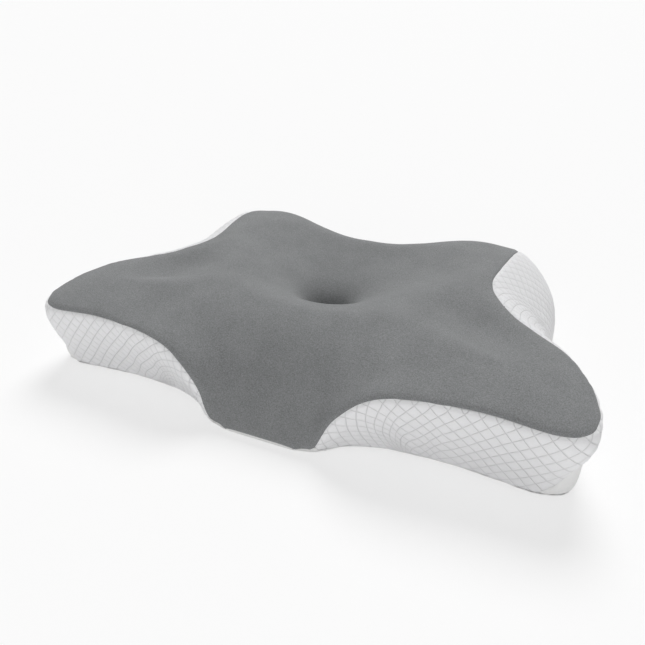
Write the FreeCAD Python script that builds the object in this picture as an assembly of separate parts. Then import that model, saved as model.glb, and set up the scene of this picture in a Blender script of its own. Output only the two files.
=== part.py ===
import FreeCAD, Part
import math
import os

# Contoured neck pillow: a butterfly-shaped foam block in a thin liner and a sewn cover.
# Millimetres. Origin: centre of the bounding box in plan, on the surface the pillow rests on.
# +X runs to the right-hand wing, -Y to the front neck tab, +Z up. The pillow is symmetric in X.

# --- overall sizes ---------------------------------------------------------------------------
SPAN = 603.2             # wing tip to wing tip
DEPTH = 378.2            # front tab to the back of the zip
HEIGHT = 115.9           # underside to the top of the rear lobes
PATTERN_SPAN = 603.2     # the sizes that the outline below is drawn at
PATTERN_DEPTH = 378.2
PATTERN_HEIGHT = 115.9

# --- fabrics and the clearances between the layers --------------------------------------------
KNIT = 1.0               # grey top panel
QUILT = 2.5              # quilted gussets and the back strip
HEM = 1.0                # front hem
BASE_CLOTH = 1.5         # bottom panel and the plain foot panels
LINER = 0.8              # inner cover round the foam
LAYER_GAP = 0.4          # air between one layer and the next
SEAM_GAP = 0.3           # butt gap between two panels at a seam
ZIP_EASE = 1.2           # slack of the cover behind the zip

# --- pit and the tie that holds the cover down in it -------------------------------------------
PIT_Y = -8.0             # centre of the pit
PIT_FLOOR_R = 10.0
PIT_FLOOR_Z = 34.0
BUTTON_R = 7.5
BUTTON_H = 3.0
BUTTON_DOME = 1.2
TIE_CORD_R = 1.2
TIE_HOLE_CLEARANCE = 0.4
ANCHOR_R = 14.0
ANCHOR_H = 2.0
ANCHOR_GAP = 0.4         # air round the anchor in its pocket

# --- zip in the back strip ----------------------------------------------------------------------
ZIP_HALF = 150.0         # half the length of the opening
ZIP_Z = 22.0             # height of the slit between the two rows of teeth
TAPE = 0.8
TAPE_WIDTH = 8.0
TAPE_RECESS = 0.6        # the tapes lie this far inside the strip's outer face
TAPE_GAP = 0.1           # butt gap between a tape and the strip round it
TAPE_SHOW = 0.3          # the tape's edge stands back from the tooth tips by this
COIL_SLIT = 1.2          # slit between the two rows of teeth
COIL_DEPTH = 2.2         # from the tooth tips to the back of the spine
COIL_SPINE = 0.7
COIL_THICK = 1.4
COIL_PITCH = 2.0
COIL_TOOTH = 1.1
STOP_LENGTH = 2.4
STOP_GAP = 0.1
SLIDER_LENGTH = 9.0
SLIDER_PLATE = 0.9
SLIDER_FLANGE = 0.8
SLIDER_WEB = 3.0         # length of the web that runs in the slit
SLIDER_CLEARANCE = 0.15
LUG_THICK = 0.9
LUG_HALF_LENGTH = 1.7
LUG_GAP = 0.15           # air each side of the pull's eye
PIVOT_R = 0.7
PIVOT_CLEARANCE = 0.06
PIVOT_LIFT = 1.7         # from the slider's outer plate to the pivot
PULL_LENGTH = 22.0
PULL_WIDTH = 6.0
PULL_THICK = 1.4
PULL_EYE_WIDTH = 2.6
PULL_NECK = 4.0          # from the pivot to where the pull widens
PULL_HOLE_R = 1.6

# --- outline ------------------------------------------------------------------------------------
# Half of the outline, from the front centre round the right-hand side to the back centre. Each
# station gives the seam between top and gusset, the foot of the wall, the height of the
# gusset's lower edge, and the way the wall runs between the two.
# A wall is three (outward share, downward share) pairs from the seam to the gusset's lower edge.
STRAIGHT = ((0.25, 0.25), (0.50, 0.50), (0.75, 0.75))
BULGED = ((0.02, 0.27), (0.40, 0.55), (0.85, 0.80))
OVERHUNG = ((-0.45, 0.30), (-0.20, 0.80), (0.65, 0.98))
SKIRTED = ((0.40, 0.13), (0.78, 0.40), (1.00, 0.68))
FLARED = ((1.00, 0.33), (1.00, 0.53), (1.00, 0.77))
STATIONS = (
    # seam x, y, z        foot x, y     lower edge z, wall
    ((0, -189, 6), (0, -187), 3, STRAIGHT),
    ((38, -188, 6), (36, -186), 3, STRAIGHT),
    ((60, -184, 8), (62, -179), 3, STRAIGHT),
    ((72, -181, 42), (84, -160), 3, BULGED),
    ((116, -173, 83), (129, -146), 3, BULGED),
    ((205, -163, 88), (200, -144), 3, BULGED),
    ((267, -163, 83), (262, -151), 4, BULGED),
    ((295, -148, 84), (290, -139), 42, OVERHUNG),
    ((300, -118, 87), (295, -112), 46, OVERHUNG),
    ((291, -84, 92), (288, -76), 30, OVERHUNG),
    ((262, -49, 99), (276, -34), 5, SKIRTED),
    ((212, -18, 106), (262, 14), 4, SKIRTED),
    ((177, 30, 113), (252, 58), 4, SKIRTED),
    ((181, 84, 116), (250, 103), 4, SKIRTED),
    ((187, 135, 112), (249, 146), 4, SKIRTED),
    ((188, 172, 101), (238, 172), 6, SKIRTED),
    ((176, 187, 93), (208, 184), 6, FLARED),
    ((152, 188, 90), (172, 184), 6, FLARED),
    ((124, 182, 87), (136, 184), 6, FLARED),
    ((86, 168, 83), (92, 184), 6, FLARED),
    ((44, 157, 80), (46, 184), 6, FLARED),
    ((0, 153, 79), (0, 184), 6, FLARED),
)
BACK_Y = 184.0           # plane of the back strip, at the pattern's depth
STEPS = 3                # poles from one station to the next
STATION_LENGTH = 12.0    # about how far it is from one station to the next at the tab's corner
LEVEL_HEIGHT = 36.0      # about how far it is from one level of the wall to the next
POLE_SHIFT = 1.0         # a periodic cubic surface passes its first pole at this parameter below 0
FRONT_CORNER = 2.15      # station where the front hem ends and the gussets begin
CORNER_TAPER = 1.5       # the quilting thins over this many stations towards the front hem
CORNER_SHARE = 0.35      # its thickness there
BACK_CORNER = 16.8       # station where the side gussets end and the back's panels begin
FOOT_FRONT = 6.05        # first and last station of the foot panels
FOOT_BACK = 9.95
RIM_HEIGHT = 2.4         # height of the bottom panel's turned-up edge
RIM_SHARE = 0.7          # and the most of the wall below the gusset that it takes
RING_RISE = 0.3          # least rise from one ring of the wall to the next
LAYER_RISE = 0.45        # and the same on the inner layers
FOOT_INSET = 2.0         # the flat underside lies this far inside the wall's foot

# --- relief of the top surface --------------------------------------------------------------------
CROWN = 103.0            # height of the plain top before the hollows and ridges
PIT_RINGS = (14.0, 19.0, 25.0, 33.0, 43.0, 55.0)
RING_SHARES = (0.17, 0.34, 0.50, 0.64, 0.76, 0.86, 0.94)
EVEN_RADIUS = 110.0      # the spokes are spread evenly inside this radius
EVENNESS = 0.7           # how much of the way they are turned to even angles
FUNNEL_WIDTH = 12.0      # how quickly the pit's wall rises from its floor
EDGE_POWER = 6.0         # how late the top rolls down to the seam
WING_EDGE_POWER = 5.0    # the same along the front of the wings
FULL_EDGE_POWER = 14.0   # the same between the rear lobes and at the front of the tab
# (change in height, centre x, centre y, radius along, radius across, turn in degrees, edge),
# where edge is 1 for a soft slope and 2 for a flat floor or top with a firmer rim
HOLLOWS_AND_RIDGES = (
    (-22.0, 0.0, 44.0, 92.0, 74.0, 0.0, 1),       # head cradle
    (-32.0, 0.0, -4.0, 42.0, 38.0, 0.0, 1),       # mouth of the pit
    (2.0, 0.0, -84.0, 74.0, 34.0, 0.0, 1),        # neck ridge in front of the pit
    (5.0, 96.0, -40.0, 52.0, 28.0, 40.0, 1),      # its arms
    (12.0, 136.0, 10.0, 56.0, 28.0, 50.0, 1),     # and on to the rear lobe
    (13.0, 152.0, 125.0, 62.0, 66.0, 0.0, 1),     # rear lobe
    (-11.0, 186.0, -56.0, 56.0, 30.0, -46.0, 2),  # shoulder cradle in the wing
    (-12.0, 112.0, -146.0, 58.0, 34.0, 0.0, 1),   # front of the wing beside the tab
    (6.0, 182.0, -98.0, 62.0, 24.0, -8.0, 1),     # front rim of the wing
    (7.0, 262.0, -92.0, 45.0, 34.0, -30.0, 1),    # end of the wing
    (4.0, 60.0, 135.0, 80.0, 28.0, 0.0, 1),       # brow between the rear lobes
)
TAB_FALL = 91.0          # how far the neck tab falls to the front edge
TAB_TOP_Y = -102.0
TAB_CURVE = 1.3         # 1 falls evenly, more falls mostly at the front edge
TAB_HALF_INNER = 10.0
TAB_HALF_OUTER = 150.0


def lerp(a, b, share):
    return a + (b - a) * share


def smooth(value, low, high):
    """0 below low, 1 above high, a smooth step between."""
    share = min(1.0, max(0.0, (value - low) / (high - low)))
    return share * share * (3.0 - 2.0 * share)


def scaled(x, y, z):
    return (x * SPAN / PATTERN_SPAN, y * DEPTH / PATTERN_DEPTH, z * HEIGHT / PATTERN_HEIGHT)


def bump(x, y, cx, cy, rx, ry, turn, edge):
    """Height 1 at (cx, cy), falling to nothing at about twice the radii."""
    cos_turn = math.cos(math.radians(turn))
    sin_turn = math.sin(math.radians(turn))
    along = (x - cx) * cos_turn + (y - cy) * sin_turn
    across = (y - cy) * cos_turn - (x - cx) * sin_turn
    return math.exp(-((along / rx) ** 2 + (across / ry) ** 2) ** edge)


def relief(x, y):
    """Height of the top surface away from its edge, in pattern millimetres."""
    z = CROWN
    for height, cx, cy, rx, ry, turn, edge in HOLLOWS_AND_RIDGES:
        z += height * bump(x, y, cx, cy, rx, ry, turn, edge)
        if cx:
            z += height * bump(-x, y, cx, cy, rx, ry, turn, edge)
    tab = max(0.0, (TAB_TOP_Y - y) / (TAB_TOP_Y - STATIONS[0][0][1])) ** TAB_CURVE
    tab *= 1.0 - smooth(abs(x), TAB_HALF_INNER, TAB_HALF_OUTER)
    return z - TAB_FALL * tab


def station_curve(points):
    """Points along one edge of the half outline, STEPS to each station, on a Catmull-Rom curve."""
    last = len(points) - 1

    def point(i):
        if i < 0:
            mirrored = points[-i]
            return (-mirrored[0],) + tuple(mirrored[1:])
        if i > last:
            mirrored = points[2 * last - i]
            return (-mirrored[0],) + tuple(mirrored[1:])
        return points[i]

    curve = []
    for i in range(last):
        before, start, end, after = point(i - 1), point(i), point(i + 1), point(i + 2)
        for k in range(STEPS):
            t = k / STEPS
            curve.append(tuple(
                0.5 * (2 * b + (c - a) * t + (2 * a - 5 * b + 4 * c - d) * t * t
                       + (3 * b - a - 3 * c + d) * t ** 3)
                for a, b, c, d in zip(before, start, end, after)))
    curve.append(tuple(points[last]))
    return curve


def full_ring(half):
    """The half outline and its mirror image, starting at the front centre."""
    return half + [(-x, y, z) for x, y, z in half[-2:0:-1]]


def wall_rings():
    """Rings from the seam down to the underside: seam, three in the gusset, its lower edge,
    one in the foot, the bottom panel's rim and the edge of the flat underside."""
    seam = [seam_point for seam_point, foot, edge, wall in STATIONS]
    gusset = [[], [], []]
    lower = []
    middle = []
    rim = []
    under = []
    for (sx, sy, sz), (fx, fy), edge, wall in STATIONS:
        for ring, (out, down) in zip(gusset, wall):
            ring.append((lerp(sx, fx, out), lerp(sy, fy, out), lerp(sz, edge, down)))
        rim_z = min(RIM_HEIGHT, RIM_SHARE * edge)
        lower.append((fx, fy, edge))
        middle.append((fx, fy, lerp(edge, rim_z, 0.5)))
        rim.append((fx, fy, rim_z))
        inward = 1.0 - FOOT_INSET / math.hypot(fx, fy)
        under.append((fx * inward, fy * inward, 0.0))
    rings = [station_curve(ring) for ring in [seam] + gusset + [lower, middle, rim, under]]
    for r in range(len(rings) - 2, -1, -1):
        rings[r] = [(x, y, max(z, below[2] + RING_RISE))
                    for (x, y, z), below in zip(rings[r], rings[r + 1])]
    return [full_ring(ring) for ring in rings]


def top_rings(seam):
    """Rings from the pit's floor out to the one just inside the seam."""
    rings = []
    radii = [(PIT_FLOOR_R, 0.0)]
    radii += [(radius, 0.0) for radius in PIT_RINGS]
    radii += [(PIT_RINGS[-1], share) for share in RING_SHARES]
    for radius, share_out in radii:
        ring = []
        for i, (x, y, z) in enumerate(seam):
            reach = math.hypot(x, y - PIT_Y)
            even = 2.0 * math.pi * i / len(seam)
            angle = math.atan2(x, PIT_Y - y) % (2.0 * math.pi)
            evenness = EVENNESS * (1.0 - smooth(radius + share_out * reach, PIT_FLOOR_R, EVEN_RADIUS))
            angle = lerp(angle, even, evenness)
            distance = lerp(radius, reach, share_out)
            px = distance * math.sin(angle)
            py = PIT_Y - distance * math.cos(angle)
            between_lobes = smooth(y - 0.5 * abs(x), 60.0, 120.0)
            at_tab = smooth(-y - abs(x), 80.0, 120.0)
            on_wing_front = smooth(-y, 60.0, 130.0)
            power = lerp(EDGE_POWER, WING_EDGE_POWER, on_wing_front)
            power = lerp(power, FULL_EDGE_POWER, max(between_lobes, at_tab))
            edge = (distance / reach) ** power
            height = lerp(relief(px, py), z, edge)
            depth = 0.0
            if share_out == 0.0:
                depth = math.exp(-((radius - PIT_FLOOR_R) / FUNNEL_WIDTH) ** 2)
            ring.append((px, py, lerp(height, PIT_FLOOR_Z, depth)))
        rings.append(ring)
    return rings


def pattern_rings():
    walls = wall_rings()
    rings = top_rings(walls[0]) + walls
    return [[FreeCAD.Vector(*scaled(*point)) for point in ring] for ring in rings]


RINGS = pattern_rings()
SEAM = 1 + len(PIT_RINGS) + len(RING_SHARES)      # index of the seam's ring
LOWER = SEAM + 4                                  # index of the gusset's lower edge
RIM = LOWER + 2                                   # index of the bottom panel's rim
UNDER = RIM + 1                                   # index of the edge of the flat underside
POLES = len(RINGS[0])


def ring_normals():
    """Outward unit vectors at every pole of every ring."""
    normals = []
    for r, ring in enumerate(RINGS):
        row = []
        for i, pole in enumerate(ring):
            if r == 0:
                outward = FreeCAD.Vector(-pole.x, PIT_Y * DEPTH / PATTERN_DEPTH - pole.y, 0)
                outward.normalize()
                row.append(outward + FreeCAD.Vector(0, 0, 1))
                continue
            along = ring[(i + 1) % POLES] - ring[i - 1]
            if r == UNDER:
                outward = along.cross(FreeCAD.Vector(0, 0, 1))
                outward.normalize()
                row.append(outward)
                continue
            across = RINGS[r + 1][i] - RINGS[r - 1][i]
            if r > LOWER:
                across = FreeCAD.Vector(0, 0, -1)
            normal = across.cross(along)
            normal.normalize()
            row.append(normal)
        normals.append(row)
    return normals


NORMALS = ring_normals()


def station_of(i):
    """The station at pole i, counted from the front centre on either side."""
    return min(i, POLES - i) / STEPS


def back_share(i):
    """1 at the poles behind the zip, falling to 0 round the rear lobes."""
    return smooth(station_of(i), BACK_CORNER - 1.0, BACK_CORNER + 1.0)


def layer(top_depth, side_depth, floor, ease=0.0, corner_share=1.0):
    """The rings moved inward: by top_depth under the top panel, by side_depth behind the
    gussets, or by corner_share of it at the tab's corners, with the underside at height floor."""
    rings = []
    for r, ring in enumerate(RINGS):
        depth = lerp(top_depth, side_depth, smooth(r, SEAM - 3, SEAM))
        lift = LAYER_RISE * (UNDER - r) if r >= SEAM else 0.0
        row = []
        for i, pole in enumerate(ring):
            extra = ease * back_share(i) * smooth(r, SEAM - 2, SEAM)
            at_corner = 1.0 - smooth(station_of(i), FRONT_CORNER, FRONT_CORNER + CORNER_TAPER)
            share = lerp(1.0, corner_share, at_corner)
            moved = pole - NORMALS[r][i] * (depth * share + extra)
            if r >= SEAM:
                moved.z = max(moved.z, floor + lift)
            if r == UNDER:
                moved.z = floor
            row.append(moved)
        rings.append(row)
    return rings


def patch(rings, first, last):
    """A smooth surface over some of the rings, closed round the pillow."""
    rows = [[rings[r][i] for r in range(first, last + 1)] for i in range(POLES)]
    count = last - first + 1
    degree = min(3, count - 1)
    inner = count - degree - 1
    surface = Part.BSplineSurface()
    surface.buildFromPolesMultsKnots(
        rows, [1] * (POLES + 1), [degree + 1] + [1] * inner + [degree + 1],
        [float(i) for i in range(POLES + 1)],
        [float(i) for i in range(inner + 2)], True, False, 3, degree)
    return surface


FAR_AWAY = FreeCAD.Vector(0, 0, 10.0 * HEIGHT)


def solid_of(faces):
    shell = Part.makeShell(faces)
    shell.sewShape()
    solid = Part.makeSolid(shell)
    if solid.isInside(FAR_AWAY, 0.001, True):
        solid.reverse()
    return solid


def cap(surface, v):
    """The flat face inside the ring at v."""
    return Part.Face(Part.Wire(surface.vIso(v).toShape()))


def wall(outer, inner, v):
    return Part.makeRuledSurface(outer.vIso(v).toShape(), inner.vIso(v).toShape())


def v_range(surface):
    return surface.bounds()[2:4]


def closed_panel(outer_rings, inner_rings, first, last, capped_first=False, capped_last=False):
    """A fabric layer that runs all the way round, with flat caps where asked."""
    outer = patch(outer_rings, first, last)
    inner = patch(inner_rings, first, last)
    start, end = v_range(outer)
    faces = [outer.toShape(), inner.toShape()]
    for v, capped in ((start, capped_first), (end, capped_last)):
        if capped:
            faces += [cap(outer, v), cap(inner, v)]
        else:
            faces.append(wall(outer, inner, v))
    return solid_of(faces)


def strip_panel(outer_rings, inner_rings, first, last, start, end, down=None):
    """A fabric layer between two stations, counted round from the front centre, and between
    two levels of the wall where down gives them."""
    faces = []
    surfaces = []
    for rings in (outer_rings, inner_rings):
        surface = patch(rings, first, last)
        low, high = down or v_range(surface)
        surface.segment(start * STEPS - POLE_SHIFT, end * STEPS - POLE_SHIFT, low, high)
        surfaces.append(surface)
        faces.append(surface.toShape())
    outer, inner = surfaces
    u0, u1, v0, v1 = outer.bounds()
    for v in (v0, v1):
        faces.append(Part.makeRuledSurface(outer.vIso(v).toShape(), inner.vIso(v).toShape()))
    for u in (u0, u1):
        faces.append(Part.makeRuledSurface(outer.uIso(u).toShape(), inner.uIso(u).toShape()))
    return solid_of(faces)


def trimmed(rings, index, toward, distance):
    """The rings with one of them drawn back along the surface, for a butt gap at a seam."""
    moved = list(rings)
    row = []
    for pole, neighbour in zip(rings[index], rings[toward]):
        step = neighbour - pole
        row.append(pole + step * (distance / max(step.Length, distance)))
    moved[index] = row
    return moved


TOP_UNDERSIDE = layer(KNIT, KNIT, BASE_CLOTH)
GUSSET_INSIDE = layer(KNIT, QUILT, BASE_CLOTH, corner_share=CORNER_SHARE)
HEM_INSIDE = layer(KNIT, HEM, BASE_CLOTH)
BASE_INSIDE = layer(KNIT, BASE_CLOTH, BASE_CLOTH)
LINER_OUTSIDE = layer(KNIT + LAYER_GAP, QUILT + LAYER_GAP, BASE_CLOTH + LAYER_GAP, ZIP_EASE)
LINER_INSIDE = layer(KNIT + LAYER_GAP + LINER, QUILT + LAYER_GAP + LINER,
                     BASE_CLOTH + LAYER_GAP + LINER, ZIP_EASE)
FOAM_FLOOR = BASE_CLOTH + LINER + 2.0 * LAYER_GAP
FOAM_OUTSIDE = layer(KNIT + LINER + 2.0 * LAYER_GAP, QUILT + LINER + 2.0 * LAYER_GAP,
                     FOAM_FLOOR, ZIP_EASE)
BACK_CENTRE = float(len(STATIONS) - 1)
FULL_TURN = 2.0 * BACK_CENTRE
CORNER_GAP = SEAM_GAP / STATION_LENGTH      # the seam's gap in stations
WALL_MIDDLE = 1.0                 # level of the wall where the back strip begins, from the seam
WALL_BOTTOM = 2.0                 # level of the wall's lower edge
LEVEL_GAP = SEAM_GAP / LEVEL_HEIGHT         # and in levels
PIT_CENTRE = FreeCAD.Vector(0, PIT_Y * DEPTH / PATTERN_DEPTH, 0)
PIT_BOTTOM = PIT_FLOOR_Z * HEIGHT / PATTERN_HEIGHT


def cylinder(radius, low, high):
    """An upright cylinder on the pit's axis."""
    return Part.makeCylinder(radius, high - low, PIT_CENTRE + FreeCAD.Vector(0, 0, low))


def box(x0, x1, y0, y1, z0, z1):
    return Part.makeBox(x1 - x0, y1 - y0, z1 - z0, FreeCAD.Vector(x0, y0, z0))


def tie_hole():
    return cylinder(TIE_CORD_R + TIE_HOLE_CLEARANCE, 0.5 * FOAM_FLOOR, PIT_BOTTOM + BUTTON_H)


# --- cover ----------------------------------------------------------------------------------------
def top_panel():
    outer = trimmed(RINGS, SEAM, SEAM - 1, SEAM_GAP)
    inner = trimmed(TOP_UNDERSIDE, SEAM, SEAM - 1, SEAM_GAP)
    return closed_panel(outer, inner, 0, SEAM, capped_first=True).cut(tie_hole())


def gusset(start, end, down=None, inside=GUSSET_INSIDE):
    outer = trimmed(RINGS, LOWER, LOWER - 1, SEAM_GAP)
    inner = trimmed(inside, LOWER, LOWER - 1, SEAM_GAP)
    return strip_panel(outer, inner, SEAM, LOWER, start, end, down)


def gusset_right():
    return gusset(FRONT_CORNER + CORNER_GAP, BACK_CORNER - CORNER_GAP)


def gusset_left():
    return gusset(FULL_TURN - BACK_CORNER + CORNER_GAP, FULL_TURN - FRONT_CORNER - CORNER_GAP)


def front_hem():
    return gusset(FULL_TURN - FRONT_CORNER, FULL_TURN + FRONT_CORNER, inside=HEM_INSIDE)


def gusset_back():
    """The quilted upper part of the back, above the plain strip that carries the zip."""
    return gusset(BACK_CORNER, FULL_TURN - BACK_CORNER, (0.0, WALL_MIDDLE - LEVEL_GAP))


def foot_panel(start, end):
    outer = trimmed(RINGS, RIM, LOWER, SEAM_GAP)
    inner = trimmed(BASE_INSIDE, RIM, LOWER, SEAM_GAP)
    return strip_panel(outer, inner, LOWER, RIM, start, end)


def foot_panel_right():
    return foot_panel(FOOT_FRONT, FOOT_BACK)


def foot_panel_left():
    return foot_panel(FULL_TURN - FOOT_BACK, FULL_TURN - FOOT_FRONT)


def bottom_panel():
    return closed_panel(RINGS, BASE_INSIDE, RIM, UNDER, capped_last=True)


# --- inner cover and foam ---------------------------------------------------------------------------
def liner_top():
    outer = trimmed(LINER_OUTSIDE, SEAM, SEAM - 1, SEAM_GAP)
    inner = trimmed(LINER_INSIDE, SEAM, SEAM - 1, SEAM_GAP)
    return closed_panel(outer, inner, 0, SEAM, capped_first=True).cut(tie_hole())


def side_patches(rings):
    """The wall from the seam to the underside, in the same three bands as the cover."""
    return [patch(rings, SEAM, LOWER), patch(rings, LOWER, RIM), patch(rings, RIM, UNDER)]


def liner_base():
    faces = []
    for rings in (LINER_OUTSIDE, LINER_INSIDE):
        bands = side_patches(rings)
        faces += [band.toShape() for band in bands]
        faces.append(cap(bands[-1], v_range(bands[-1])[1]))
    outer = patch(LINER_OUTSIDE, SEAM, LOWER)
    inner = patch(LINER_INSIDE, SEAM, LOWER)
    faces.append(wall(outer, inner, v_range(outer)[0]))
    return solid_of(faces)


def foam_core():
    top = patch(FOAM_OUTSIDE, 0, SEAM)
    bands = side_patches(FOAM_OUTSIDE)
    faces = [top.toShape(), cap(top, v_range(top)[0]), cap(bands[-1], v_range(bands[-1])[1])]
    foam = solid_of(faces + [band.toShape() for band in bands])
    pocket = cylinder(ANCHOR_R + ANCHOR_GAP, 0.0, FOAM_FLOOR + ANCHOR_H + ANCHOR_GAP)
    return foam.cut(pocket).cut(tie_hole())


# --- tie that holds the cover down in the pit -------------------------------------------------------
def tie_button():
    button = cylinder(BUTTON_R, PIT_BOTTOM, PIT_BOTTOM + BUTTON_H)
    rim = [edge for edge in button.Edges
           if edge.BoundBox.ZMin > PIT_BOTTOM + 0.5 * BUTTON_H]
    return button.makeFillet(BUTTON_DOME, rim)


def tie_cord():
    return cylinder(TIE_CORD_R, FOAM_FLOOR + ANCHOR_H, PIT_BOTTOM)


def tie_anchor():
    return cylinder(ANCHOR_R, FOAM_FLOOR, FOAM_FLOOR + ANCHOR_H)


# --- zip ---------------------------------------------------------------------------------------------
STRIP_Y = BACK_Y * DEPTH / PATTERN_DEPTH
TAPE_OUT = STRIP_Y - TAPE_RECESS
TAPE_IN = TAPE_OUT - TAPE
COIL_OUT = TAPE_OUT + COIL_THICK
TIP = 0.5 * COIL_SLIT                 # from the zip's centre line to the tooth tips
COIL_BACK = TIP + COIL_DEPTH
TAPE_EDGE = TIP + TAPE_WIDTH
TOOTH_END = ZIP_HALF - STOP_LENGTH - STOP_GAP
PLATE_IN = COIL_OUT + SLIDER_CLEARANCE
PLATE_OUT = PLATE_IN + SLIDER_PLATE
PIVOT_Y = PLATE_OUT + PIVOT_LIFT
SLIDER_X = TOOTH_END - STOP_GAP - 0.5 * SLIDER_LENGTH     # parked at the closed end


def back_strip():
    strip = gusset(BACK_CORNER, FULL_TURN - BACK_CORNER, (WALL_MIDDLE, WALL_BOTTOM))
    half = ZIP_HALF + TAPE_GAP
    high = TAPE_EDGE + TAPE_GAP
    window = box(-half, half, STRIP_Y - 2.0 * QUILT, STRIP_Y + QUILT, ZIP_Z - high, ZIP_Z + high)
    return strip.cut(window)


def across_zip(side, near, far):
    """Low and high z of a band between two distances from the zip's centre line."""
    ends = (ZIP_Z + side * near, ZIP_Z + side * far)
    return min(ends), max(ends)


def zip_tape(side):
    z0, z1 = across_zip(side, TIP + TAPE_SHOW, TAPE_EDGE)
    return box(-ZIP_HALF, ZIP_HALF, TAPE_IN, TAPE_OUT, z0, z1)


def zip_coil(side):
    """A spine with evenly spaced teeth, cut as one comb and given its thickness along Y."""
    spine_z = ZIP_Z + side * (COIL_BACK - COIL_SPINE)
    tip_z = ZIP_Z + side * TIP
    back_z = ZIP_Z + side * COIL_BACK
    count = int(2.0 * TOOTH_END / COIL_PITCH)
    start = -0.5 * (count - 1) * COIL_PITCH
    outline = [(-TOOTH_END, back_z), (-TOOTH_END, spine_z)]
    for k in range(count):
        left = start + k * COIL_PITCH - 0.5 * COIL_TOOTH
        outline += [(left, spine_z), (left, tip_z)]
        outline += [(left + COIL_TOOTH, tip_z), (left + COIL_TOOTH, spine_z)]
    outline += [(TOOTH_END, spine_z), (TOOTH_END, back_z)]
    outline.append(outline[0])
    wire = Part.makePolygon([FreeCAD.Vector(x, TAPE_OUT, z) for x, z in outline])
    return Part.Face(wire).extrude(FreeCAD.Vector(0, COIL_THICK, 0))


def zip_stop(side):
    inner = side * (ZIP_HALF - STOP_LENGTH)
    outer = side * ZIP_HALF
    return box(min(inner, outer), max(inner, outer), TAPE_OUT, COIL_OUT,
               ZIP_Z - COIL_BACK, ZIP_Z + COIL_BACK)


def zip_slider():
    """Outer plate with two flanges, a web in the slit, an inner plate, two lugs and the pivot."""
    x0 = SLIDER_X - 0.5 * SLIDER_LENGTH
    x1 = SLIDER_X + 0.5 * SLIDER_LENGTH
    inside = COIL_BACK + SLIDER_CLEARANCE
    outside = inside + SLIDER_FLANGE
    slider = box(x0, x1, PLATE_IN, PLATE_OUT, ZIP_Z - outside, ZIP_Z + outside)
    inner_out = TAPE_IN - SLIDER_CLEARANCE
    slider = slider.fuse(box(x0, x1, inner_out - SLIDER_PLATE, inner_out,
                             ZIP_Z - outside, ZIP_Z + outside))
    web = TIP - SLIDER_CLEARANCE
    slider = slider.fuse(box(SLIDER_X - 0.5 * SLIDER_WEB, SLIDER_X + 0.5 * SLIDER_WEB,
                             inner_out, PLATE_IN, ZIP_Z - web, ZIP_Z + web))
    eye = 0.5 * PULL_EYE_WIDTH + LUG_GAP
    for side in (-1, 1):
        z0, z1 = across_zip(side, inside, outside)
        slider = slider.fuse(box(x0, x1, TAPE_OUT + SLIDER_CLEARANCE, PLATE_IN, z0, z1))
        z0, z1 = across_zip(side, eye, eye + LUG_THICK)
        slider = slider.fuse(box(SLIDER_X - LUG_HALF_LENGTH, SLIDER_X + LUG_HALF_LENGTH, PLATE_OUT,
                                 PIVOT_Y + PIVOT_R + LUG_THICK, z0, z1))
    pivot = Part.makeCylinder(PIVOT_R, 2.0 * eye + LUG_THICK,
                              FreeCAD.Vector(SLIDER_X, PIVOT_Y, ZIP_Z - eye - 0.5 * LUG_THICK))
    return slider.fuse(pivot).removeSplitter()


def zip_pull():
    """A flat tab lying along the zip, with an eye on the slider's pivot and a hole at its end."""
    eye_r = 0.5 * PULL_THICK + PIVOT_R
    eye = Part.makeCylinder(eye_r, PULL_EYE_WIDTH,
                            FreeCAD.Vector(SLIDER_X, PIVOT_Y, ZIP_Z - 0.5 * PULL_EYE_WIDTH))
    low = PIVOT_Y - 0.5 * PULL_THICK
    high = PIVOT_Y + 0.5 * PULL_THICK
    neck = box(SLIDER_X - PULL_NECK, SLIDER_X, low, high,
               ZIP_Z - 0.5 * PULL_EYE_WIDTH, ZIP_Z + 0.5 * PULL_EYE_WIDTH)
    tab = box(SLIDER_X - PULL_LENGTH, SLIDER_X - PULL_NECK, low, high,
              ZIP_Z - 0.5 * PULL_WIDTH, ZIP_Z + 0.5 * PULL_WIDTH)
    corners = [edge for edge in tab.Edges if abs(edge.Length - PULL_THICK) < 0.01]
    tab = tab.makeFillet(0.3 * PULL_WIDTH, corners)
    pull = eye.fuse(neck).fuse(tab)
    along_z = FreeCAD.Vector(0, 0, 1)
    bore = Part.makeCylinder(PIVOT_R + PIVOT_CLEARANCE, PULL_WIDTH,
                             FreeCAD.Vector(SLIDER_X, PIVOT_Y, ZIP_Z - 0.5 * PULL_WIDTH), along_z)
    hole = Part.makeCylinder(PULL_HOLE_R, 2.0 * PULL_THICK,
                             FreeCAD.Vector(SLIDER_X - PULL_LENGTH + 2.0 * PULL_HOLE_R,
                                            PIVOT_Y - PULL_THICK, ZIP_Z),
                             FreeCAD.Vector(0, 1, 0))
    return pull.cut(bore).cut(hole).removeSplitter()


NODES = {
    "top_panel": top_panel,
    "gusset_right": gusset_right,
    "gusset_left": gusset_left,
    "front_hem": front_hem,
    "gusset_back": gusset_back,
    "back_strip": back_strip,
    "foot_panel_right": foot_panel_right,
    "foot_panel_left": foot_panel_left,
    "bottom_panel": bottom_panel,
    "liner_top": liner_top,
    "liner_base": liner_base,
    "foam_core": foam_core,
    "tie_button": tie_button,
    "tie_cord": tie_cord,
    "tie_anchor": tie_anchor,
    "zip_tape_upper": lambda: zip_tape(1),
    "zip_tape_lower": lambda: zip_tape(-1),
    "zip_coil_upper": lambda: zip_coil(1),
    "zip_coil_lower": lambda: zip_coil(-1),
    "zip_stop_open": lambda: zip_stop(-1),
    "zip_stop_closed": lambda: zip_stop(1),
    "zip_slider": zip_slider,
    "zip_pull": zip_pull,
}

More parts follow.
